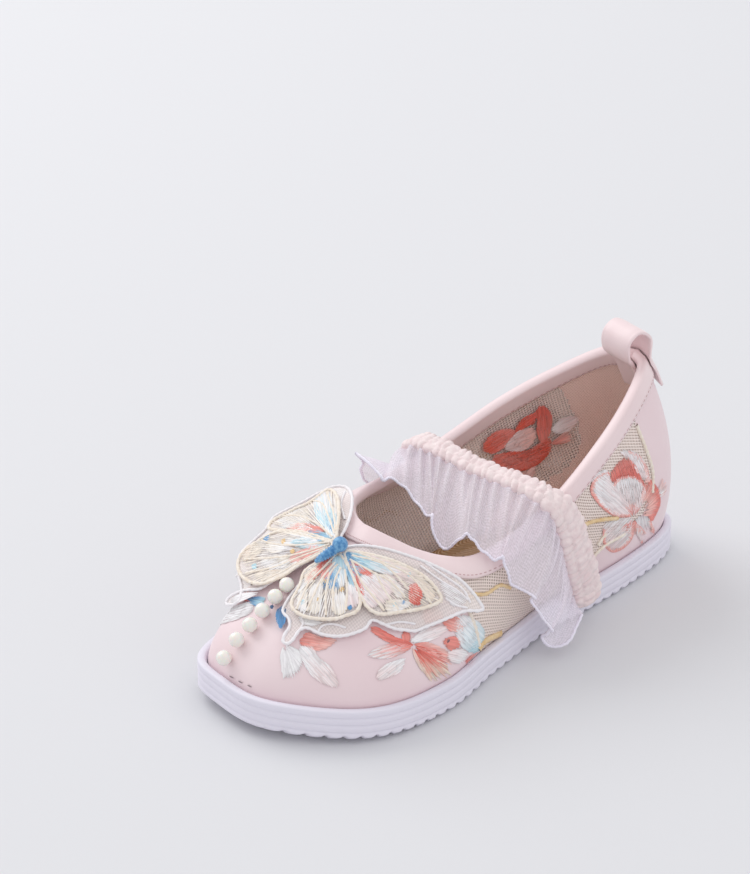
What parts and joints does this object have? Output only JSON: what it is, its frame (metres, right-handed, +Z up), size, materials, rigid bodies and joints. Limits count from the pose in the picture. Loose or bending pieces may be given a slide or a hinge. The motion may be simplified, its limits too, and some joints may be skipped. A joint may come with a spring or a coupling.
{
  "type": "embroidered shoe",
  "caption": "Small child's embroidered strap shoe with a butterfly applique, pearls, a ruched instep strap with a frill and a ribbed cup sole.",
  "frame": {"origin": "on the flat of the sole, at half its length", "axes": "+X to the toe, +Y to the outer side of a left foot, +Z up"},
  "size_m": [0.186, 0.087, 0.0852],
  "materials": {
    "outsole": "matte",
    "insole": "woven",
    "satin": "satin",
    "satin_tape": "satin",
    "strap_cloth": "crinkled",
    "organza": "sheer",
    "wing_cloth": "embroidered",
    "thread_blue": "satin stitch",
    "pearl": "pearly"
  },
  "bodies": {
    "root": {"outsole": "outsole", "insole": "insole", "upper": "satin", "collar_binding": "satin_tape", "heel_pull_loop": "satin_tape", "instep_strap": "strap_cloth", "strap_ruffle": "organza", "butterfly_under_wings": "wing_cloth", "butterfly_upper_wings": "wing_cloth", "butterfly_body": "thread_blue", "pearl_1": "pearl", "pearl_2": "pearl", "pearl_3": "pearl", "pearl_4": "pearl", "pearl_5": "pearl", "pearl_6": "pearl"}
  },
  "joints": []
}
